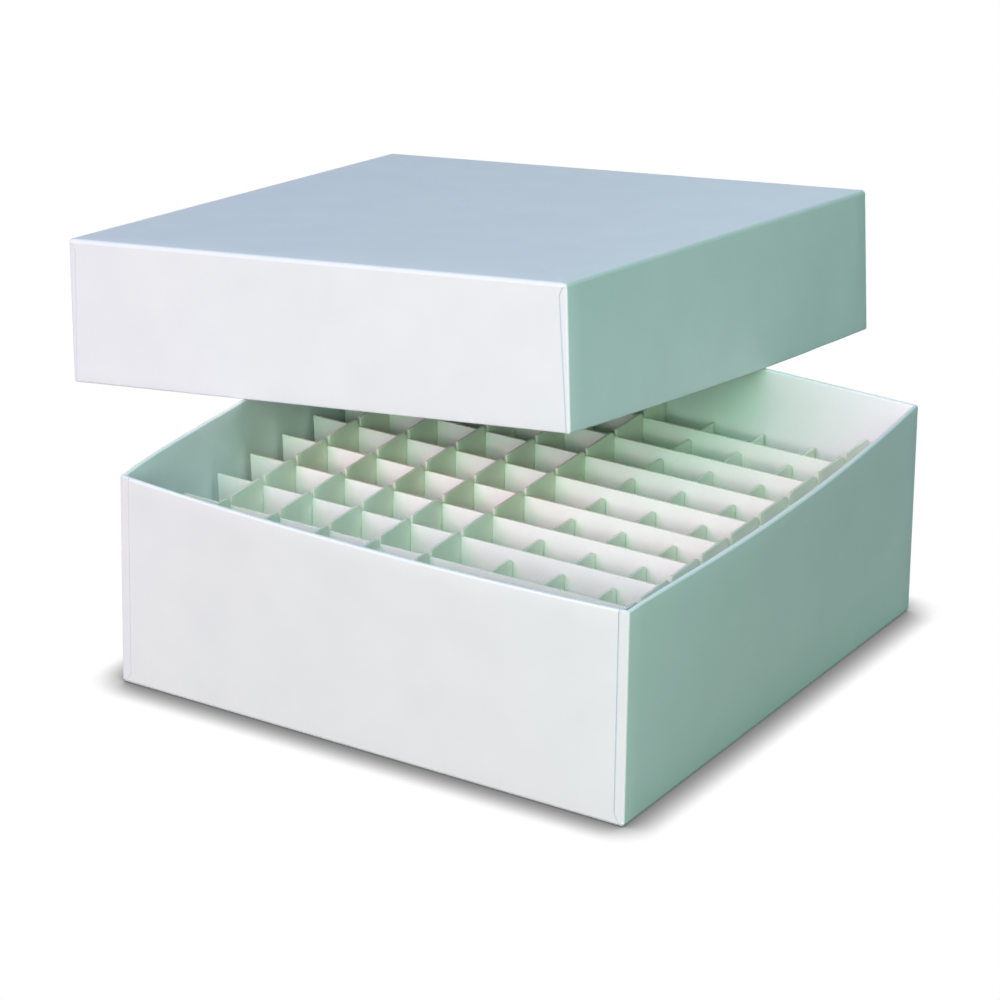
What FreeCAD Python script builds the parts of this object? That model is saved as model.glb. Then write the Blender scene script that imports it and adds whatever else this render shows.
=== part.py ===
import FreeCAD, Part
import math
import os

from FreeCAD import Vector

os.makedirs("parts", exist_ok=True)

# A square freezer box of white coated cardboard: a base tray, a divider of slotted
# strips that makes ten by ten cells, and a lift-off lid that stands ajar on two rims.
# Three of its walls bow outwards towards their rims.
# X runs to the right, Y to the back, Z up. The origin is the middle of the underside.

# Base tray
base_width = 130.0
base_depth = 130.0
base_height = 51.5
base_board = 1.8
base_front_bow = 2.7
base_right_bow = 3.9

# Lid tray
lid_clearance = 0.4
lid_height = 33.5
lid_board = 1.8
lid_front_bow = 0.0
lid_right_bow = 2.4

# Folds of both trays
corner_radius = 1.0
rim_radius = 0.5
upright_band = 1.5

# Paper cover, whose front and back sheets end short of each corner: the sheet's edge
# runs from the rim to the floor end and then slants towards the corner
cover_thickness = 0.2
cover_step_reach = 1.0
base_seam_at_rim = 2.5
base_seam_at_floor = 2.5
lid_seam_at_rim = 0.9
lid_seam_at_floor = 2.0
seam_slant_height = 1.8
seam_slant_run = 0.9

# Divider
cells_per_side = 10
end_cell = 10.4
strip_thickness = 0.6
row_height = 34.8
column_height = 33.8
strip_end_clearance = 0.3
slot_clearance = 0.1
row_slot_depth = 18.6
lap_clearance = 0.6

# Lead-in that is cut into the front side of each column slot, at its mouth
mouth_flare = 1.6
mouth_depth = 1.6

# Height at which the column strips sit above the floor: the first ones and the last
# stand proud of the rows, the others have sunk to the floor
proud_columns = 5
proud_lift = 3.4
last_column_lift = 5.2

# Lid at rest: its front skirt seats on the left rim, its right skirt on the back rim
seat_left_y = -16.3
seat_back_x = 24.9
seat_gap = 0.1
lid_tilt = 11.9
lid_turn = -0.8

# Sizes that follow
base_inner_width = base_width - 2 * base_board
base_inner_depth = base_depth - 2 * base_board
lid_inner_width = base_width + 2 * lid_clearance
lid_inner_depth = base_depth + 2 * lid_clearance
lid_width = lid_inner_width + 2 * lid_board
lid_depth = lid_inner_depth + 2 * lid_board
strips_each_way = cells_per_side - 1
slot_width = strip_thickness + 2 * slot_clearance
highest_lift = max(proud_lift, last_column_lift)
column_slot_depth = column_height + highest_lift - row_slot_depth + lap_clearance
nearly = 1e-6


def centred_box(width, depth, height, bottom):
    """A block centred on the Z axis."""
    corner = Vector(-width / 2, -depth / 2, bottom)
    return Part.makeBox(width, depth, height, corner)


def is_upright(edge):
    """True for an edge that runs along Z."""
    box = edge.BoundBox
    return box.ZLength > max(box.XLength, box.YLength)


def lies_at(edge, height):
    """True for an edge that lies flat at one height."""
    box = edge.BoundBox
    return box.ZLength < nearly and abs(box.ZMin - height) < nearly


def folded_block(width, depth, height):
    """A block on the plane z = 0 whose upright and bottom edges are rounded folds."""
    block = centred_box(width, depth, height, 0)
    folds = [e for e in block.Edges if is_upright(e) or lies_at(e, 0)]
    return block.makeFillet(corner_radius, folds)


def bow_wedge(length, bow, bottom, top):
    """The room that a wall along X gains by bowing towards -Y: none at its foot and at
    its ends, most at the middle of its rim, under which a narrow band stands upright."""
    band_foot = top - upright_band
    foot_start = Vector(-length / 2, 0, bottom)
    foot_end = Vector(length / 2, 0, bottom)
    band_start = Vector(-length / 2, 0, band_foot)
    band_end = Vector(length / 2, 0, band_foot)
    foot = Part.LineSegment(foot_start, foot_end).toShape()
    arc = Part.Arc(band_start, Vector(0, -bow, band_foot), band_end).toShape()
    chord = Part.LineSegment(band_end, band_start).toShape()
    bowed_side = Part.makeRuledSurface(foot, arc)
    flat_outline = [foot_start, foot_end, band_end, band_start, foot_start]
    flat_side = Part.Face(Part.makePolygon(flat_outline))
    upper_side = Part.Face(Part.Wire([arc, chord]))
    shell = Part.makeShell([bowed_side, flat_side, upper_side])
    shell.sewShape()
    leaning_part = Part.makeSolid(shell)
    band = upper_side.extrude(Vector(0, 0, upright_band))
    return leaning_part.fuse(band)


def bow_wedges(width, depth, end_inset, bottom, top, front_bow, right_bow):
    """The rooms that the front and right walls of a block gain by bowing outwards."""
    wedges = []
    if front_bow > 0:
        front = bow_wedge(width - 2 * end_inset, front_bow, bottom, top)
        front.translate(Vector(0, -depth / 2, 0))
        wedges.append(front)
    if right_bow > 0:
        right = bow_wedge(depth - 2 * end_inset, right_bow, bottom, top)
        right.rotate(Vector(0, 0, 0), Vector(0, 0, 1), 90)
        right.translate(Vector(width / 2, 0, 0))
        wedges.append(right)
    return wedges


def cover_step(width, depth, height, seam_at_rim, seam_at_floor):
    """The shallow step at the front right corner, where the cover sheet ends short."""
    corner_x = width / 2
    outside_x = corner_x + cover_thickness
    outside_y = -depth / 2 - cover_step_reach
    top = height + cover_thickness
    slant_top = corner_radius + seam_slant_height
    outline = [
        Vector(corner_x - seam_at_rim, outside_y, top),
        Vector(corner_x - seam_at_floor, outside_y, slant_top),
        Vector(corner_x - seam_at_floor + seam_slant_run, outside_y, corner_radius),
        Vector(outside_x, outside_y, corner_radius),
        Vector(outside_x, outside_y, top),
    ]
    face = Part.Face(Part.makePolygon(outline + outline[:1]))
    return face.extrude(Vector(0, cover_step_reach + cover_thickness, 0))


def tray(width, depth, height, board, front_bow, right_bow, seam_at_rim, seam_at_floor):
    """An open tray of covered board, floor down, standing on the plane z = 0."""
    bows = (front_bow, right_bow)
    outside = folded_block(width, depth, height)
    for wedge in bow_wedges(width, depth, corner_radius, corner_radius, height, *bows):
        outside = outside.fuse(wedge)
    inner_width = width - 2 * board
    inner_depth = depth - 2 * board
    pocket = centred_box(inner_width, inner_depth, height, board)
    shell = outside.cut(pocket)
    for wedge in bow_wedges(inner_width, inner_depth, 0, board, height, *bows):
        shell = shell.cut(wedge)
    shell = shell.removeSplitter()
    rim = [e for e in shell.Edges if lies_at(e, height)]
    shell = shell.makeFillet(rim_radius, rim)
    right_step = cover_step(width, depth, height, seam_at_rim, seam_at_floor)
    left_step = right_step.mirror(Vector(0, 0, 0), Vector(1, 0, 0))
    for step in (right_step, left_step):
        shell = shell.cut(step)
        shell = shell.cut(step.mirror(Vector(0, 0, 0), Vector(0, 1, 0)))
    return shell


def base_tray():
    """The lower tray, which stands on its floor."""
    return tray(
        base_width,
        base_depth,
        base_height,
        base_board,
        base_front_bow,
        base_right_bow,
        base_seam_at_rim,
        base_seam_at_floor,
    )


def lid_at_rest():
    """The lid tray, floor up, leant on the left and back walls of the base."""
    lid = tray(
        lid_width,
        lid_depth,
        lid_height,
        lid_board,
        lid_front_bow,
        lid_right_bow,
        lid_seam_at_rim,
        lid_seam_at_floor,
    )
    lid = lid.mirror(Vector(0, 0, 0), Vector(0, 0, 1))
    lid.translate(Vector(0, 0, lid_height))
    seat_height = base_height + seat_gap
    left_seat = Vector(-base_width / 2, seat_left_y, seat_height)
    back_seat = Vector(seat_back_x, base_depth / 2, seat_height)
    seat_line = back_seat - left_seat
    heading = math.atan2(seat_line.y, seat_line.x) - math.radians(lid_turn)
    along_front_skirt = seat_line.Length * math.cos(heading)
    skirt_x = lid_inner_width / 2 + lid_right_bow - along_front_skirt
    skirt_y = -lid_inner_depth / 2 - lid_front_bow
    lid.translate(Vector(-skirt_x, -skirt_y, 0))
    lid.rotate(Vector(0, 0, 0), Vector(0, 0, 1), lid_turn)
    lid.rotate(Vector(0, 0, 0), seat_line, -lid_tilt)
    lid.translate(left_seat)
    return lid


def strip_places(inner_size):
    """The distance of each strip from the middle of the box, in order."""
    pitch = (inner_size - 2 * end_cell) / (strips_each_way - 1)
    first = end_cell - inner_size / 2
    return [first + i * pitch for i in range(strips_each_way)]


def slot_cutter(place, height, depth):
    """A straight slot from the upper edge of a strip."""
    cutter = Part.makeBox(slot_width, 3 * strip_thickness, 2 * depth)
    cutter.translate(Vector(place - slot_width / 2, -1.5 * strip_thickness, height - depth))
    return cutter


def mouth_cutter(place, height):
    """The lead-in that widens a slot to one side at the upper edge of a strip."""
    outline = [
        Vector(place, 0, height - mouth_depth),
        Vector(place, 0, height),
        Vector(place - slot_width / 2 - mouth_flare, 0, height),
        Vector(place - slot_width / 2, 0, height - mouth_depth),
    ]
    face = Part.Face(Part.makePolygon(outline + outline[:1]))
    cutter = face.extrude(Vector(0, 3 * strip_thickness, 0))
    cutter.translate(Vector(0, -1.5 * strip_thickness, 0))
    return cutter


def strip(length, height, crossings, slot_depth):
    """A die-cut strip along X with a slot from its upper edge at each crossing."""
    blank = Part.makeBox(length, strip_thickness, height)
    blank.translate(Vector(-length / 2, -strip_thickness / 2, 0))
    return blank.cut([slot_cutter(place, height, slot_depth) for place in crossings])


def row_strip(place):
    """A strip parallel to the front wall, slotted from below, over the columns."""
    length = base_inner_width - 2 * strip_end_clearance
    row = strip(length, row_height, strip_places(base_inner_width), row_slot_depth)
    row.rotate(Vector(0, 0, 0), Vector(1, 0, 0), 180)
    row.translate(Vector(0, place, base_board + row_height))
    return row


def column_lift(index):
    """How far a column strip sits above the floor in its slots."""
    if index < proud_columns:
        return proud_lift
    if index == strips_each_way - 1:
        return last_column_lift
    return 0.0


def column_strip(index, place):
    """A strip parallel to the right wall, slotted from above."""
    length = base_inner_depth - 2 * strip_end_clearance
    crossings = strip_places(base_inner_depth)
    column = strip(length, column_height, crossings, column_slot_depth)
    column = column.cut([mouth_cutter(crossing, column_height) for crossing in crossings])
    column.rotate(Vector(0, 0, 0), Vector(0, 0, 1), 90)
    column.translate(Vector(place, 0, base_board + column_lift(index)))
    return column


def write(name, shape):
    """Keep one piece as its own file."""
    shape.exportStep("parts/" + name + ".step")


write("base_tray", base_tray())
write("lid_tray", lid_at_rest())
for index, place in enumerate(strip_places(base_inner_depth)):
    write("row_strip_%d" % (index + 1), row_strip(place))
for index, place in enumerate(strip_places(base_inner_width)):
    write("column_strip_%d" % (index + 1), column_strip(index, place))
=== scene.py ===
import math

import bmesh
import bpy
import numpy as np
from mathutils import Matrix, Vector


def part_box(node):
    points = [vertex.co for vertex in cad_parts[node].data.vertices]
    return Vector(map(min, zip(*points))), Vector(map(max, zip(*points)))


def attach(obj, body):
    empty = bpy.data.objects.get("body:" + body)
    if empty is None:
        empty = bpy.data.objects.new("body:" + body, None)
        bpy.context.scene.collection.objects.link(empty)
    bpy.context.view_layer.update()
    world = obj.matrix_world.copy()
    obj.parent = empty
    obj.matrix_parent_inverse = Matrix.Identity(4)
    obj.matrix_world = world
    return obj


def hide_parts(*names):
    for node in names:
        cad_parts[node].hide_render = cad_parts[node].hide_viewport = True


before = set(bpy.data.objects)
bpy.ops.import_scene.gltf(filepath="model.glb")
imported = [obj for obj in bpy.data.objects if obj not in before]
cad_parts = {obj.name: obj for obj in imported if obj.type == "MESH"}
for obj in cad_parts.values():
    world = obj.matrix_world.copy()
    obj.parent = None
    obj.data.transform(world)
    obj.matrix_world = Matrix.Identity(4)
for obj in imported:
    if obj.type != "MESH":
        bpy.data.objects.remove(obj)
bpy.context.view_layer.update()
scene = bpy.context.scene
scene.view_settings.view_transform = "Standard"


# Camera: a long lens in front of the box and to its right, looking down on it, rolled
# a little, as the box was photographed. Lengths in the whole file are metres.
CAMERA_TARGET = Vector((-0.0097, 0.0055, 0.0317))
CAMERA_DISTANCE = 1.30
CAMERA_AZIMUTH = math.radians(31.22)
CAMERA_ELEVATION = math.radians(24.21)
CAMERA_ROLL = math.radians(0.88)
CAMERA_LENS_MM = 206.8
CAMERA_SENSOR_MM = 36.0


def direction(azimuth, elevation):
    """The unit vector from the box to a place round it; azimuth 0 is in front."""
    flat = math.cos(elevation)
    return Vector((math.sin(azimuth) * flat, -math.cos(azimuth) * flat, math.sin(elevation)))


def aim(thing, place, target, roll=0.0):
    """Puts a camera or a lamp at a place, looking at a target."""
    turn = (target - place).to_track_quat("-Z", "Y").to_matrix().to_4x4()
    thing.matrix_world = Matrix.Translation(place) @ turn @ Matrix.Rotation(roll, 4, "Z")


camera = bpy.data.objects.new("camera", bpy.data.cameras.new("camera"))
camera.data.lens = CAMERA_LENS_MM
camera.data.sensor_width = CAMERA_SENSOR_MM
camera_side = direction(CAMERA_AZIMUTH, CAMERA_ELEVATION)
aim(camera, CAMERA_TARGET + camera_side * CAMERA_DISTANCE, CAMERA_TARGET, CAMERA_ROLL)
scene.collection.objects.link(camera)
scene.camera = camera


# Lamps: a broad soft panel in front and one at the near corner, tinted green, light the
# front faces white between them. Weaker cool ones stand high at the right, for the top
# and the right faces, and at the left. A faint low one keeps the back from going dark.
LAMP_DISTANCE = 1.6
LAMP_TARGET = Vector((0, 0, 0.04))
PANEL_HEIGHT = 0.8


def linear(colour):
    """The linear colour of an sRGB hex value."""
    parts = [int(colour[i:i + 2], 16) / 255 for i in (1, 3, 5)]
    return [p / 12.92 if p <= 0.04045 else ((p + 0.055) / 1.055) ** 2.4 for p in parts] + [1.0]


def panel(name, azimuth, elevation, width, colour, level):
    """A soft panel lamp at a place given by two angles in degrees. At level 1 it alone
    shows a white surface that faces it in its own colour: that takes (pi * distance) ** 2
    watts."""
    lamp = bpy.data.objects.new(name, bpy.data.lights.new(name, "AREA"))
    lamp.data.shape = "RECTANGLE"
    lamp.data.size = width
    lamp.data.size_y = PANEL_HEIGHT
    lamp.data.color = linear(colour)[:3]
    lamp.data.energy = level * (math.pi * LAMP_DISTANCE) ** 2
    place = direction(math.radians(azimuth), math.radians(elevation)) * LAMP_DISTANCE
    aim(lamp, place, LAMP_TARGET)
    scene.collection.objects.link(lamp)


panel("front_panel", -8, 30, 1.0, "#FFC8EC", 0.71)
panel("corner_panel", 25, 25, 0.8, "#BAFFCF", 0.50)
panel("upper_panel", 80, 65, 0.8, "#ADF0FF", 0.27)
panel("left_panel", -90, 35, 0.8, "#6ABAFF", 0.22)
panel("back_panel", 195, 10, 0.8, "#DDEEFF", 0.10)


# Floor and backdrop: matt studio paper, plain white where the camera sees it, with a soft
# neutral shadow close to the box. It throws light back as a greyer paper would, because
# the photographed box gets little from below.
FLOOR_HALF = 3.0
FLOOR_BOUNCE = "#8C908C"
BACKDROP_WHITE = "#FFFFFF"
AMBIENT_COLOUR = "#D0FFD8"
AMBIENT_LEVEL = 0.02

# The shadow: how far it reaches, how quickly it deepens and how dark it gets
SHADOW_REACH = 0.0080
SHADOW_DEPTH = 3.0
SHADOW_DARKEST = 0.15
SHADOW_SAMPLES = 16


def add(tree, kind, inputs=None, **settings):
    """Adds a node. An input is given a value, or linked if it's another node's output."""
    made = tree.nodes.new(kind)
    for name, value in settings.items():
        setattr(made, name, value)
    for name, value in (inputs or {}).items():
        if isinstance(value, bpy.types.NodeSocket):
            tree.links.new(value, made.inputs[name])
        else:
            made.inputs[name].default_value = value
    return made


def new_material(name):
    """An empty node material."""
    material = bpy.data.materials.new(name)
    material.use_nodes = True
    material.node_tree.nodes.clear()
    return material


def seen_directly(tree):
    """1 for a ray from the camera, or one reflected or let through to it, otherwise 0."""
    rays = add(tree, "ShaderNodeLightPath")
    seen = rays.outputs["Is Camera Ray"]
    for other in ("Is Glossy Ray", "Is Transmission Ray"):
        both = add(tree, "ShaderNodeMath", {0: seen, 1: rays.outputs[other]}, operation="MAXIMUM")
        seen = both.outputs[0]
    return seen


def studio_paper():
    """Matt paper that looks evenly white and darkens only close to the box."""
    material = new_material("studio_paper_matt")
    tree = material.node_tree
    paper = add(tree, "ShaderNodeBsdfDiffuse", {"Color": linear(FLOOR_BOUNCE)})
    shade = add(tree, "ShaderNodeAmbientOcclusion", {"Distance": SHADOW_REACH}, samples=SHADOW_SAMPLES)
    shade = add(tree, "ShaderNodeMath", {0: shade.outputs["AO"], 1: SHADOW_DEPTH}, operation="POWER")
    shade = add(tree, "ShaderNodeMapRange", {"Value": shade.outputs[0], "To Min": SHADOW_DARKEST})
    bright = add(tree, "ShaderNodeEmission", {"Strength": shade.outputs[0]})
    surface = add(tree, "ShaderNodeMixShader",
                  {0: seen_directly(tree), 1: paper.outputs[0], 2: bright.outputs[0]})
    add(tree, "ShaderNodeOutputMaterial", {"Surface": surface.outputs[0]})
    return material


floor_mesh = bpy.data.meshes.new("floor")
floor_corners = [(x, y, 0) for x, y in ((-1, -1), (1, -1), (1, 1), (-1, 1))]
floor_mesh.from_pydata([Vector(c) * FLOOR_HALF for c in floor_corners], [], [(0, 1, 2, 3)])
floor_mesh.materials.append(studio_paper())
floor = bpy.data.objects.new("floor", floor_mesh)
scene.collection.objects.link(floor)

scene.world = bpy.data.worlds.new("studio")
scene.world.use_nodes = True
world_tree = scene.world.node_tree
world_tree.nodes.clear()
ambient = add(world_tree, "ShaderNodeBackground",
              {"Color": linear(AMBIENT_COLOUR), "Strength": AMBIENT_LEVEL})
backdrop = add(world_tree, "ShaderNodeBackground", {"Color": linear(BACKDROP_WHITE)})
around = add(world_tree, "ShaderNodeMixShader",
             {0: seen_directly(world_tree), 1: ambient.outputs[0], 2: backdrop.outputs[0]})
add(world_tree, "ShaderNodeOutputWorld", {"Surface": around.outputs[0]})


# Base tray: solid board covered with white coated paper and folded up into four walls.
# The front and back sheets end short of the corners, over the paper that is wrapped
# round from the sides, so a thin step runs down beside each corner.
BOARD = 0.0018
BASE_WALL = 0.0011
BASE_HALF = 0.0650
BASE_HEIGHT = 0.0515
FOLD = 0.0010
CORNER_FOLD = 0.0006
RIM = 0.0005
INNER_CREASE = 0.0003

# The mesh of a tray: how far in the rings of its floor end, as a share of its half width,
# the counts of its rings and of the points along its sides, and where it is shaded smooth
FLOOR_RINGS_END = 0.97
FLOOR_RINGS = 9
OUTER_WALL_RINGS = 14
INNER_WALL_RINGS = 13
POINTS_ALONG_X = 25
POINTS_ALONG_Y = 27
TRAY_SMOOTH_ANGLE = math.radians(38)

# The cover sheets: their thickness, the heights over the fold between which their lower edge steps out, the
# slant at their foot, how far they end from the corner at the floor and at the rim, and the width of the
# mesh beside a corner, of the step and of the painted shadow line beside it
COVER = 0.0002
SHEET_FOOT = (0.00003, 0.00025)
SLANT_TOP = 0.0028
SLANT_RUN = 0.0009
BASE_SEAM = (0.0025, 0.0025)
SEAM_ROOM = 0.0035
SEAM_EDGE = 0.00004
SEAM_SHADOW_WIDTH = 0.00038

# Slack of the walls: its size, and the waves of the side walls and of the front and back
# ones, as a short wave's length and shift, its length upwards, a long wave's and its shift.
# The sharpness says how quickly bow and slack fade away from their wall.
SLACK = 0.00018
RIPPLE_MEAN = 1.3
RIPPLE_SIZE = 0.15
SIDE_WAVES = (0.013, 1.0, 0.021, 0.029, -0.6)
FRONT_AND_BACK_WAVES = (0.015, -0.4, 0.018, 0.034, 1.9)
WALL_SHARPNESS = 6


def seam_place(z, height, seam):
    """How far from the corner the cover sheet's edge is, at a height from the floor side."""
    at_floor, at_rim = seam
    if z < SLANT_TOP:
        return at_floor - SLANT_RUN * min(1.0, (SLANT_TOP - z) / (SLANT_TOP - FOLD))
    return at_floor + (at_rim - at_floor) * (z - SLANT_TOP) / (height - SLANT_TOP)


def tray_profile(half, height, wall):
    """The tray's section from the middle of the underside, over the rim, to the middle of
    the floor: rings given by inset from the outside, height, corner radius and side."""
    quarter_turn = [math.radians(18 * i) for i in range(6)]
    middle = FLOOR_RINGS_END * half
    rings = [(inset, 0.0, INNER_CREASE, "under") for inset in np.linspace(middle, FOLD, FLOOR_RINGS)]
    for a in quarter_turn[1:]:
        radius = INNER_CREASE + (CORNER_FOLD - INNER_CREASE) * math.sin(a)
        rings.append((FOLD - FOLD * math.sin(a), FOLD - FOLD * math.cos(a), radius, "fold"))
    levels = [FOLD + foot for foot in SHEET_FOOT] + [0.5 * (FOLD + SLANT_TOP), SLANT_TOP]
    levels += list(np.linspace(SLANT_TOP, height - RIM, OUTER_WALL_RINGS))[1:]
    rings += [(0.0, z, CORNER_FOLD, "outside") for z in levels]
    for a in quarter_turn[1:]:
        inset = RIM - RIM * math.cos(a)
        rings.append((inset, height - RIM + RIM * math.sin(a), CORNER_FOLD - inset, "rim"))
    for a in quarter_turn:
        inset = wall - RIM + RIM * math.sin(a)
        rings.append((inset, height - RIM + RIM * math.cos(a), INNER_CREASE, "rim_inside"))
    levels = np.linspace(height - RIM, BOARD + INNER_CREASE, INNER_WALL_RINGS)[1:]
    rings += [(wall, z, INNER_CREASE, "inside") for z in levels]
    for a in quarter_turn[1:]:
        inset = wall + INNER_CREASE * (1 - math.cos(a))
        rings.append((inset, BOARD + INNER_CREASE * (1 - math.sin(a)), INNER_CREASE, "inside"))
    floor_insets = np.linspace(wall + INNER_CREASE, middle, FLOOR_RINGS)[1:]
    rings += [(inset, BOARD, INNER_CREASE, "inside") for inset in floor_insets]
    return rings


def tray_ring(ring, width, depth, height, seam):
    """The points of one ring, anticlockwise from its front left corner, each with its share of wear and
    painted highlight, and of the painted shadow line beside a cover sheet's edge."""
    inset, z, radius, side = ring
    x_end = width / 2 - inset - radius
    y_end = depth / 2 - inset - radius
    y_out = depth / 2 - inset
    covered = side in ("outside", "rim")
    step = max(0.0, COVER - inset) if covered else 0.0
    small_ring_margin = 0.4 * x_end
    margin = min(SEAM_ROOM, small_ring_margin)
    if covered or side == "fold":
        edge = x_end - (seam_place(z, height, seam) - inset - radius)
        marks = [edge - SEAM_EDGE, edge + SEAM_EDGE, edge + SEAM_SHADOW_WIDTH, x_end]
    else:
        marks = [x_end - margin * part for part in (0.6, 0.4, 0.2, 0.0)]
    lowest = covered and z < FOLD + SHEET_FOOT[1]
    middle = np.linspace(-(x_end - margin), x_end - margin, POINTS_ALONG_X)
    points, wear_and_highlight, seam_shadow = [], [], []

    def put(x, y, worn_and_highlit=0.0, dark=0.0):
        points.append((x, y, z))
        wear_and_highlight.append(worn_and_highlit)
        seam_shadow.append(dark)

    # Folds, rims and corners carry wear and a painted highlight: lighter scuffed paper where light catches
    # the folds.
    wear_and_highlight_here = 1.0 if side in ("fold", "rim", "rim_inside") else 0.0
    corner_turn = [math.radians(22.5 * i) for i in (1, 2, 3)]
    squash = (radius - step) / radius
    for facing in (-1, 1):
        xs = [-m for m in reversed(marks)] + list(middle) + marks
        recessed = [True] * 3 + [False] * (len(xs) - 6) + [True] * 3
        # The point just past the sheet's edge carries a painted shadow line, and so does the recessed step
        # at the foot.
        in_seam_shadow = [0.0, 0.0, 1.0] + [0.0] * (len(xs) - 6) + [1.0, 0.0, 0.0]
        for x, low, dark in zip(xs, recessed, in_seam_shadow):
            y = facing * (y_out - (step if low else 0.0))
            put(-facing * x, y, wear_and_highlight_here, float(covered) * max(dark, float(low and lowest)))
        for a in corner_turn:
            x = -facing * (x_end + radius * math.sin(a))
            put(x, facing * (y_end + radius * math.cos(a) * squash), 1.0)
        for y in np.linspace(-y_end, y_end, POINTS_ALONG_Y):
            put(-facing * (width / 2 - inset), -facing * y, wear_and_highlight_here)
        for a in corner_turn:
            x = -facing * (x_end + radius * math.cos(a))
            put(x, -facing * (y_end + radius * math.sin(a) * squash), 1.0)
    return points, wear_and_highlight, seam_shadow


def ripple(along, z, waves):
    """How uneven a wall is: a long wave along it, and a short one that comes and goes
    upwards."""
    short, short_shift, upwards, long, long_shift = waves
    short_wave = np.sin(along / short + short_shift) * np.cos(z / upwards)
    return RIPPLE_MEAN + RIPPLE_SIZE * (short_wave + np.sin(along / long + long_shift))


def hand_folded(points, width, depth, height, bows):
    """Bows the walls outwards towards their rims, by a length for each of the left, right,
    front and back wall, and lets them sag inwards unevenly by some tenths of a millimetre."""
    x, y, z = points.T
    up = np.clip((z - FOLD) / (height - FOLD), 0, 1)
    near_x = np.clip(np.abs(x) / (width / 2), 0, 1) ** WALL_SHARPNESS * up
    near_y = np.clip(np.abs(y) / (depth / 2), 0, 1) ** WALL_SHARPNESS * up
    along_x = np.clip(1 - (x / (width / 2 - FOLD)) ** 2, 0, 1)
    along_y = np.clip(1 - (y / (depth / 2 - FOLD)) ** 2, 0, 1)
    left, right, front, back = bows
    sag_x = SLACK * ripple(y, z, SIDE_WAVES) * np.sqrt(along_y)
    sag_y = SLACK * ripple(x, z, FRONT_AND_BACK_WAVES) * np.sqrt(along_x)
    moved = points.copy()
    moved[:, 0] += np.sign(x) * near_x * (np.where(x > 0, right, left) * along_y - sag_x)
    moved[:, 1] += np.sign(y) * near_y * (np.where(y > 0, back, front) * along_x - sag_y)
    return moved


def tray_fit(node, turn):
    """A CAD tray's size at its folds, how far its left, right, front and back walls bow
    outwards at the rim, and the matrix that carries a tray at the origin to it."""
    points = np.array([turn.transposed() @ v.co for v in node.data.vertices])
    low, high = points.min(axis=0), points.max(axis=0)
    just_over_fold = 1.1 * FOLD
    foot = points[points[:, 2] < low[2] + just_over_fold]
    foot_low, foot_high = foot.min(axis=0), foot.max(axis=0)
    size = (foot_high[0] - foot_low[0], foot_high[1] - foot_low[1], high[2] - low[2])
    bows = (foot_low[0] - low[0], high[0] - foot_high[0], foot_low[1] - low[1], high[1] - foot_high[1])
    middle_x, middle_y = (foot_low[0] + foot_high[0]) / 2, (foot_low[1] + foot_high[1]) / 2
    place = Matrix.Translation(turn @ Vector((middle_x, middle_y, low[2]))) @ turn.to_4x4()
    return [float(part) for part in size], bows, place


def covered_tray(name, node, turn, wall, seam, materials, handled):
    """One tray as a closed mesh, built floor down and carried to where its CAD node is.
    The last argument is a function that gives it the marks of its own handling."""
    (width, depth, height), bows, place = tray_fit(node, turn)
    rings = tray_profile(min(width, depth) / 2, height, wall)
    made_rings = [tray_ring(ring, width, depth, height, seam) for ring in rings]
    points, wear_and_highlight, seam_shadow = [sum(parts, []) for parts in zip(*made_rings)]
    ring_size = len(points) // len(rings)
    faces, finish = [], []
    for i in range(len(rings) - 1):
        lined = int(rings[i + 1][3] == "inside")
        for j in range(ring_size):
            k = (j + 1) % ring_size
            a, b = i * ring_size, (i + 1) * ring_size
            faces.append((a + j, a + k, b + k, b + j))
            finish.append(lined)
    last = (len(rings) - 1) * ring_size
    faces.append(tuple(reversed(range(ring_size))))
    faces.append(tuple(range(last, last + ring_size)))
    finish += [0, 1]
    shape = handled(hand_folded(np.array(points, float), width, depth, height, bows))
    mesh = bpy.data.meshes.new(name)
    mesh.from_pydata([place @ Vector(p) for p in shape], [], faces)
    for material in materials:
        mesh.materials.append(material)
    mesh.polygons.foreach_set("material_index", finish)
    for label, values in (("wear_and_highlight", wear_and_highlight), ("seam_shadow", seam_shadow)):
        layer = mesh.attributes.new(label, "FLOAT", "POINT")
        layer.data.foreach_set("value", values)
    mesh.shade_smooth()
    mesh.set_sharp_from_angle(angle=TRAY_SMOOTH_ANGLE)
    made = bpy.data.objects.new(name, mesh)
    scene.collection.objects.link(made)
    return made


def millimetres(tree, size):
    """Object coordinates scaled so that a texture's cell is about that many millimetres."""
    where = add(tree, "ShaderNodeTexCoord").outputs["Object"]
    scaled = add(tree, "ShaderNodeVectorMath", {0: where, 1: (1000 / size,) * 3}, operation="MULTIPLY")
    return scaled.outputs[0]


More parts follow.
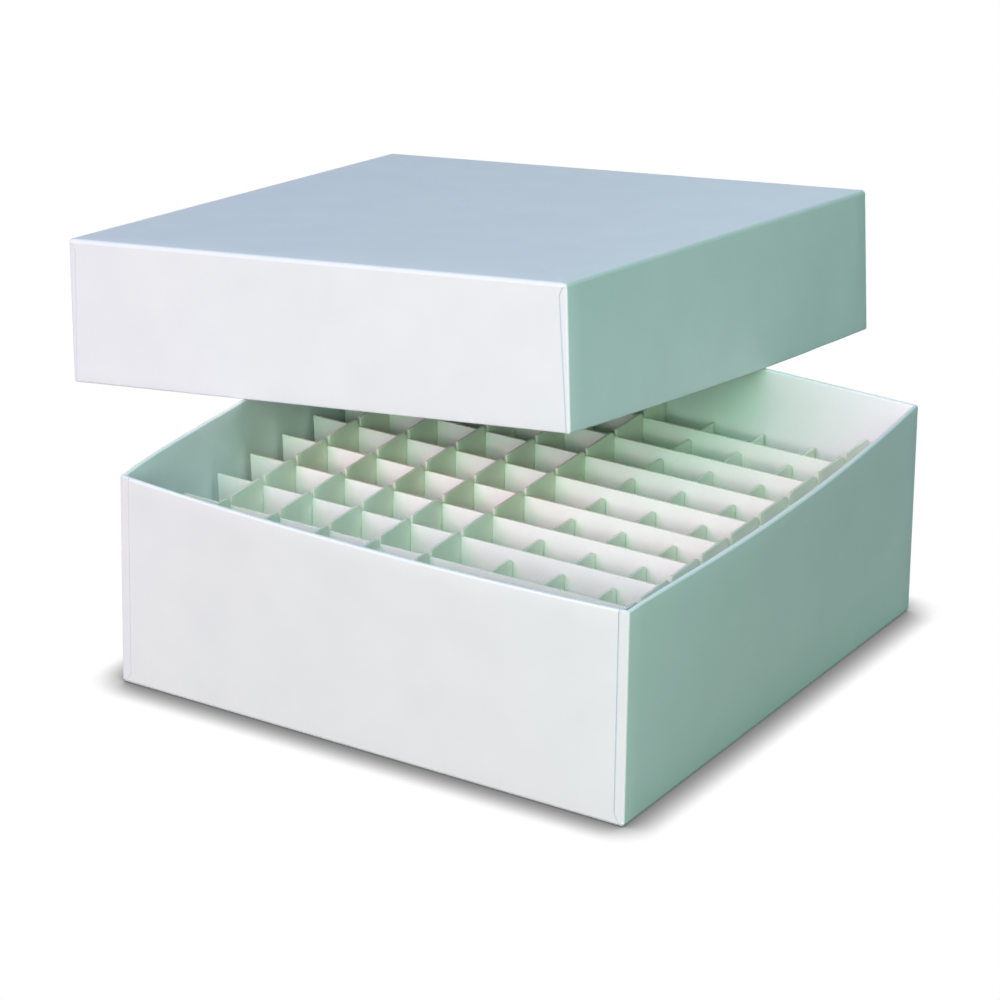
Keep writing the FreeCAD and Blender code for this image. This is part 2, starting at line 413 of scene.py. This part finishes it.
def coated_paper():
    """White coated paper over board: smooth and half matt, faintly mottled, with whiter scuffed fibres along
    folds, rims and corners, which are wear and a painted highlight, and a painted grey shadow line where a
    sheet ends. The fibres are drawn 0.7 mm long and the scuffs 1.1 mm, coarser than real ones, to show in
    the render."""
    material = new_material("coated_paper_white")
    tree = material.node_tree
    cloud = add(tree, "ShaderNodeTexNoise", {"Vector": millimetres(tree, 14), "Scale": 1.0, "Detail": 3.0})
    body = add(tree, "ShaderNodeMix", {
        "Factor": cloud.outputs[0], "A": linear("#E9ECED"), "B": linear("#F3F5F5")}, data_type="RGBA")
    worn_and_highlit = add(tree, "ShaderNodeAttribute", attribute_name="wear_and_highlight")
    scuff = add(tree, "ShaderNodeTexNoise", {"Vector": millimetres(tree, 1.1), "Scale": 1.0, "Detail": 2.0})
    amount = add(tree, "ShaderNodeMath", {0: worn_and_highlit.outputs["Fac"], 1: scuff.outputs[0]}, operation="MULTIPLY")
    # Wear and painted highlight: folds, rims and corners are mixed towards a whiter paper.
    worn_and_highlit_paper = add(tree, "ShaderNodeMix", {
        "Factor": amount.outputs[0], "A": body.outputs["Result"], "B": linear("#F6F8FB")}, data_type="RGBA")
    # A painted shadow: a grey-lilac line where a sheet's edge steps down.
    seam_shadow_line = add(tree, "ShaderNodeAttribute", attribute_name="seam_shadow")
    paint = add(tree, "ShaderNodeMix", {
        "Factor": seam_shadow_line.outputs["Fac"], "A": worn_and_highlit_paper.outputs["Result"],
        "B": linear("#CCCFE0")}, data_type="RGBA")
    fibre = add(tree, "ShaderNodeTexNoise", {"Vector": millimetres(tree, 0.7), "Scale": 1.0, "Detail": 4.0})
    gloss = add(tree, "ShaderNodeMapRange", {"Value": fibre.outputs[0], "To Min": 0.42, "To Max": 0.62})
    grain = add(tree, "ShaderNodeBump", {"Height": fibre.outputs[0], "Strength": 0.12, "Distance": 0.00004})
    wave = add(tree, "ShaderNodeBump", {
        "Height": cloud.outputs[0], "Normal": grain.outputs[0], "Strength": 0.5, "Distance": 0.00015})
    surface = add(tree, "ShaderNodeBsdfPrincipled", {
        "Base Color": paint.outputs["Result"], "Roughness": gloss.outputs[0], "IOR": 1.5,
        "Normal": wave.outputs[0]})
    add(tree, "ShaderNodeOutputMaterial", {"Surface": surface.outputs[0]})
    return material


def lining_paper():
    """White uncoated lining paper, glued down inside the trays: matt, with faint fibres,
    drawn 0.8 mm long to show."""
    material = new_material("lining_paper_uncoated")
    tree = material.node_tree
    cloud = add(tree, "ShaderNodeTexNoise", {"Vector": millimetres(tree, 9), "Scale": 1.0, "Detail": 4.0})
    body = add(tree, "ShaderNodeMix", {
        "Factor": cloud.outputs[0], "A": linear("#EEF0F2"), "B": linear("#F6F7FA")}, data_type="RGBA")
    fibre = add(tree, "ShaderNodeTexNoise", {"Vector": millimetres(tree, 0.8), "Scale": 1.0, "Detail": 4.0})
    grain = add(tree, "ShaderNodeBump", {"Height": fibre.outputs[0], "Strength": 0.25, "Distance": 0.00005})
    surface = add(tree, "ShaderNodeBsdfPrincipled", {
        "Base Color": body.outputs["Result"], "Roughness": 0.8, "IOR": 1.5, "Normal": grain.outputs[0]})
    add(tree, "ShaderNodeOutputMaterial", {"Surface": surface.outputs[0]})
    return material


# Handling has pushed the base's left wall outwards between its ends and lets its front rim
# sag, most at a place left of its middle. The sharpness says how quickly both fade away
# from their wall.
LEFT_BULGE = 0.0031
BULGE_HALF_LENGTH = 0.064
BULGE_PEAK = 6.75
FRONT_SAG = 0.0014
SAG_PLACE = -0.020
SAG_HALF_LENGTH = 0.085
HANDLED_SHARPNESS = 8


def left_bulge(y, z):
    """How far the left wall bulges outwards: most at two thirds of its height, nothing at
    its foot, its rim and its ends. BULGE_PEAK brings the curve's greatest value to 1."""
    along = np.clip(1 - (y / BULGE_HALF_LENGTH) ** 4, 0, 1)
    up = np.clip((z - BOARD) / (BASE_HEIGHT - BOARD), 0, 1)
    return LEFT_BULGE * along * BULGE_PEAK * up ** 2 * (1 - up)


def handled_base(points):
    """Pushes the left wall outwards and lets the front rim sag a little."""
    x, y, z = points.T
    moved = points.copy()
    left = np.clip(-x / BASE_HALF, 0, 1) ** HANDLED_SHARPNESS
    moved[:, 0] -= left * left_bulge(y, z)
    front = np.clip(-y / BASE_HALF, 0, 1) ** HANDLED_SHARPNESS
    along = 1 - 0.5 * ((x - SAG_PLACE) / SAG_HALF_LENGTH) ** 2
    moved[:, 2] -= FRONT_SAG * front * along * np.clip(z / BASE_HEIGHT, 0, 1) ** 2
    return moved


cover_and_lining = (coated_paper(), lining_paper())
base = covered_tray("base_tray_covered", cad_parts["base_tray"], Matrix.Identity(3), BASE_WALL,
                    BASE_SEAM, cover_and_lining, handled_base)
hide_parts("base_tray")
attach(base, "base")


# Lid tray: made as the base is, a little wider and shallower, and turned over. It leans on
# two rims of the base. Its right skirt is creased near the back corner.
LID_SEAM = (0.0020, 0.0010)

# Each crease by its place along the skirt, its slope and its half width, then how deep they
# are, where their place is measured and over what height they fade towards the lid's top
CREASES = ((-0.058, 0.35, 0.0016), (-0.049, 0.20, 0.0024))
CREASE_DEPTH = 0.00040
CREASE_START = 0.004
CREASE_FADE = 0.020
SKIRT_SHARPNESS = 12
FLAT_FACES_COMPARED = 12
SQUARE_WITHIN = 0.01


def largest_flat_faces(node, count):
    """The outward directions of a CAD node's largest flat faces, largest first."""
    areas = {}
    for face in node.data.polygons:
        key = tuple(round(part, 2) for part in face.normal)
        areas.setdefault(key, [0.0, Vector()])
        areas[key][0] += face.area
        areas[key][1] += face.normal * face.area
    ranked = sorted(areas.values(), key=lambda found: -found[0])
    return [normal.normalized() for area, normal in ranked[:count]]


def lid_turn(node):
    """The rotation that carries a tray standing floor down to the lid: the largest flat
    faces are the lid's top, then its two straight skirts, inside and outside."""
    faces = largest_flat_faces(node, FLAT_FACES_COMPARED)
    top = max(faces[:2], key=lambda normal: normal.z)
    across = [normal for normal in faces if abs(normal.dot(top)) < SQUARE_WITHIN][:4]
    right = max(across, key=lambda normal: normal.x)
    return Matrix((right, (-top).cross(right), -top)).transposed()


def creased_skirt(points):
    """Two shallow slanting creases in the right skirt, near the back corner."""
    x, y, z = points.T
    moved = points.copy()
    side = np.clip(x / x.max(), 0, 1) ** SKIRT_SHARPNESS
    for start, slope, width in CREASES:
        away = (y - start - slope * (z - CREASE_START)) / width
        moved[:, 0] -= CREASE_DEPTH * side * np.exp(-away ** 2) * np.clip(z / CREASE_FADE, 0, 1)
    return moved


lid_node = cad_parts["lid_tray"]
lid = covered_tray("lid_tray_covered", lid_node, lid_turn(lid_node), BOARD, LID_SEAM, cover_and_lining,
                   creased_skirt)
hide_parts("lid_tray")
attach(lid, "lid")


# Row strips: nine strips of thin solid board parallel to the front wall, die cut with a
# slot from below at each crossing. They stand over the column strips, a little crooked,
# and their left ends reach into the bulge of the wall.
STRIP = 0.0006
SLOT_HALF = 0.0004
MOUTH_ROOM = 0.0003
EDGE_ROUND = 0.00014
STRIP_SMOOTH_ANGLE = math.radians(50)
STRIPS_EACH_WAY = 9
ROW_SLOT = 0.0186
ROW_MOUTH = 0.0003
ROW_TILT = 0.0130
ROW_REACH = 0.0021
REACH_LENGTH = 0.008
LEAN_HEIGHT = 0.035
SAME_PLACE = 1e-9


def strip_middle(node, axis):
    """Where a strip's middle plane is, along an axis."""
    low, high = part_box(node)
    return (low[axis] + high[axis]) / 2


row_nodes = ["row_strip_%d" % (i + 1) for i in range(STRIPS_EACH_WAY)]
column_nodes = ["column_strip_%d" % (i + 1) for i in range(STRIPS_EACH_WAY)]
row_places = [strip_middle(node, 1) for node in row_nodes]
column_places = [strip_middle(node, 0) for node in column_nodes]


def strip_marks(start, end, crossings, mouth):
    """Positions along a strip: its ends, the walls of its slots and steps between them."""
    marks = [start]
    reach = SLOT_HALF + mouth + MOUTH_ROOM
    for place in crossings:
        marks += list(np.linspace(marks[-1], place - reach, 5))[1:]
        marks += [place - SLOT_HALF, place + SLOT_HALF, place + reach]
    return marks + list(np.linspace(marks[-1], end, 6))[1:]


def slotted_strip(start, end, height, crossings, slot, mouth):
    """A flat strip from height 0 up, slotted from above, with slot mouths rounded on their
    near side: the points of the plane of its length and height, and the faces between."""
    marks = strip_marks(start, end, crossings, mouth)
    bottom = height - slot
    quarter_turn = [math.radians(22.5 * i) for i in range(5)]
    levels = list(np.linspace(0.0, bottom, 5))
    levels += list(np.linspace(bottom, height - mouth, 4))[1:-1]
    levels += [height - mouth * (1 - math.sin(turn)) for turn in quarter_turn]
    points = []
    for z in levels:
        flare = mouth - math.sqrt(max(0.0, mouth ** 2 - max(0.0, z - height + mouth) ** 2))
        for mark in marks:
            rounded = any(abs(place - SLOT_HALF - mark) < SAME_PLACE for place in crossings)
            points.append((mark - flare if rounded else mark, z))
    faces = []
    count = len(marks)
    for i in range(len(levels) - 1):
        for j in range(count - 1):
            centre = (marks[j] + marks[j + 1]) / 2
            in_slot = any(abs(centre - place) < SLOT_HALF for place in crossings)
            if levels[i + 1] > bottom and in_slot:
                continue
            a = i * count + j
            faces.append((a, a + 1, a + 1 + count, a + count))
    return points, faces


def loose_fit(x, y, z):
    """How far the divider's points lean from where they would stand in a perfect grid: by
    one or two tenths of a millimetre, in waves of freely chosen lengths and shifts."""
    up = np.clip((z - BOARD) / LEAN_HEIGHT, 0, 1)
    right = 0.00012 * np.sin(y / 0.017 + 0.5) * np.cos(x / 0.024)
    right += 0.00010 * np.sin(x / 0.009 + y / 0.031)
    back = 0.00014 * np.sin(x / 0.016 - 0.8) * np.cos(y / 0.027 + 0.4)
    back += 0.00010 * np.sin(y / 0.010 - x / 0.035)
    return right * up, back * up


def border_edges(faces):
    """The edges that only one face of a flat mesh has, in the order of the faces."""
    borders = {}
    for face in faces:
        for a, b in zip(face, face[1:] + face[:1]):
            if (b, a) in borders:
                del borders[(b, a)]
            else:
                borders[(a, b)] = True
    return list(borders)


def board_strip(name, node, axis, crossings, slot, mouth, slots_down, tilt, reach, materials):
    """A strip along X (axis 0) or Y (axis 1), as thick board with softened cut edges. A
    tilt raises it, more and more towards its far end, and a reach leans its near end out."""
    low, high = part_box(node)
    across = 1 - axis
    middle = (low[across] + high[across]) / 2
    flat, faces = slotted_strip(low[axis], high[axis], high[2] - low[2], crossings, slot, mouth)
    shape = bmesh.new()
    sheets = []
    for offset in (-STRIP / 2, STRIP / 2):
        sheet = []
        for along, z in flat:
            spot = [0.0, 0.0, high[2] - z if slots_down else low[2] + z]
            spot[axis] = along
            spot[across] = middle + offset
            sheet.append(shape.verts.new(spot))
        sheets.append(sheet)
    for face in faces:
        shape.faces.new([sheets[0][i] for i in face])
        shape.faces.new([sheets[1][i] for i in reversed(face)])
    loose = [v for v in shape.verts if not v.link_faces]
    bmesh.ops.delete(shape, geom=loose, context="VERTS")
    for a, b in border_edges(faces):
        side = shape.faces.new([sheets[0][b], sheets[0][a], sheets[1][a], sheets[1][b]])
        side.material_index = 1
    bmesh.ops.recalc_face_normals(shape, faces=shape.faces)
    rims = [e for e in shape.edges if len(e.link_faces) == 2
            and e.link_faces[0].material_index != e.link_faces[1].material_index]
    bmesh.ops.bevel(shape, geom=rims, offset=EDGE_ROUND, segments=2, profile=0.5,
                    affect="EDGES", material=1, clamp_overlap=True)
    places = np.array([v.co for v in shape.verts])
    for vertex, right, back in zip(shape.verts, *loose_fit(*places.T)):
        along = vertex.co[axis] - low[axis]
        up = (vertex.co.z - low[2]) / (high[2] - low[2])
        near_end = max(0.0, 1 - along / REACH_LENGTH) * up
        vertex.co += Vector((right, back, tilt * along))
        vertex.co[axis] -= reach * near_end
    mesh = bpy.data.meshes.new(name)
    shape.to_mesh(mesh)
    shape.free()
    for material in materials:
        mesh.materials.append(material)
    mesh.shade_smooth()
    mesh.set_sharp_from_angle(angle=STRIP_SMOOTH_ANGLE)
    made = bpy.data.objects.new(name, mesh)
    scene.collection.objects.link(made)
    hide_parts(node)
    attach(made, "base")


def strip_board(name, dark, light):
    """Uncoated white solid board, clouded between two tints: matt, with a few grey flecks
    and fine fibres, drawn 0.6 mm long to show."""
    material = new_material(name)
    tree = material.node_tree
    cloud = add(tree, "ShaderNodeTexNoise", {"Vector": millimetres(tree, 6), "Scale": 1.0, "Detail": 4.0})
    body = add(tree, "ShaderNodeMix", {
        "Factor": cloud.outputs[0], "A": linear(dark), "B": linear(light)}, data_type="RGBA")
    fibre = add(tree, "ShaderNodeTexNoise", {"Vector": millimetres(tree, 0.6), "Scale": 1.0, "Detail": 4.0})
    fleck = add(tree, "ShaderNodeMapRange", {"Value": fibre.outputs[0], "From Min": 0.68, "From Max": 0.8})
    paint = add(tree, "ShaderNodeMix", {
        "Factor": fleck.outputs[0], "A": body.outputs["Result"], "B": linear("#DFE2D2")}, data_type="RGBA")
    grain = add(tree, "ShaderNodeBump", {"Height": fibre.outputs[0], "Strength": 0.3, "Distance": 0.00005})
    surface = add(tree, "ShaderNodeBsdfPrincipled", {
        "Base Color": paint.outputs["Result"], "Roughness": 0.85, "IOR": 1.5, "Normal": grain.outputs[0]})
    add(tree, "ShaderNodeOutputMaterial", {"Surface": surface.outputs[0]})
    return material


def cut_edge(name, dark, light):
    """The die-cut edge of the board: open fibre between two tints, quite matt, drawn
    0.5 mm long to show."""
    material = new_material(name)
    tree = material.node_tree
    fibre = add(tree, "ShaderNodeTexNoise", {"Vector": millimetres(tree, 0.5), "Scale": 1.0, "Detail": 3.0})
    paint = add(tree, "ShaderNodeMix", {
        "Factor": fibre.outputs[0], "A": linear(dark), "B": linear(light)}, data_type="RGBA")
    grain = add(tree, "ShaderNodeBump", {"Height": fibre.outputs[0], "Strength": 0.4, "Distance": 0.00005})
    surface = add(tree, "ShaderNodeBsdfPrincipled", {
        "Base Color": paint.outputs["Result"], "Roughness": 0.95, "IOR": 1.5, "Normal": grain.outputs[0]})
    add(tree, "ShaderNodeOutputMaterial", {"Surface": surface.outputs[0]})
    return material


white_board_and_edge = (strip_board("strip_board_white", "#F1F5F0", "#F8FAF8"),
                        cut_edge("board_cut_edge_clean", "#F4F2D6", "#FBFAEA"))

for node in row_nodes:
    board_strip(node + "_board", node, 0, column_places, ROW_SLOT, ROW_MOUTH, slots_down=True,
                tilt=ROW_TILT, reach=ROW_REACH, materials=white_board_and_edge)


# Column strips: nine strips of the same board, parallel to the right wall, slotted from above, with mouths
# rounded on the front side. Their board is given a yellower tint and their cut edges a darker, greener one:
# painted light and painted shade, standing in for the greenish light on their faces and the shade along
# their top edges. The first five and the last stand proud of the rows, the others have sunk.
COLUMN_SLOT = 0.0210
COLUMN_MOUTH = 0.0017

# A tinted copy of the board and a darker copy of its cut edge: painted light on the columns' faces and
# painted shade on their edges.
tinted_board_and_shaded_edge = (strip_board("strip_board_painted_tint", "#F2F6E2", "#F8FBEC"),
                           cut_edge("board_cut_edge_painted_shade", "#D8E0CA", "#E4EAD8"))

for node in column_nodes:
    board_strip(node + "_board", node, 1, row_places, COLUMN_SLOT, COLUMN_MOUTH, slots_down=False,
                tilt=0.0, reach=0.0, materials=tinted_board_and_shaded_edge)
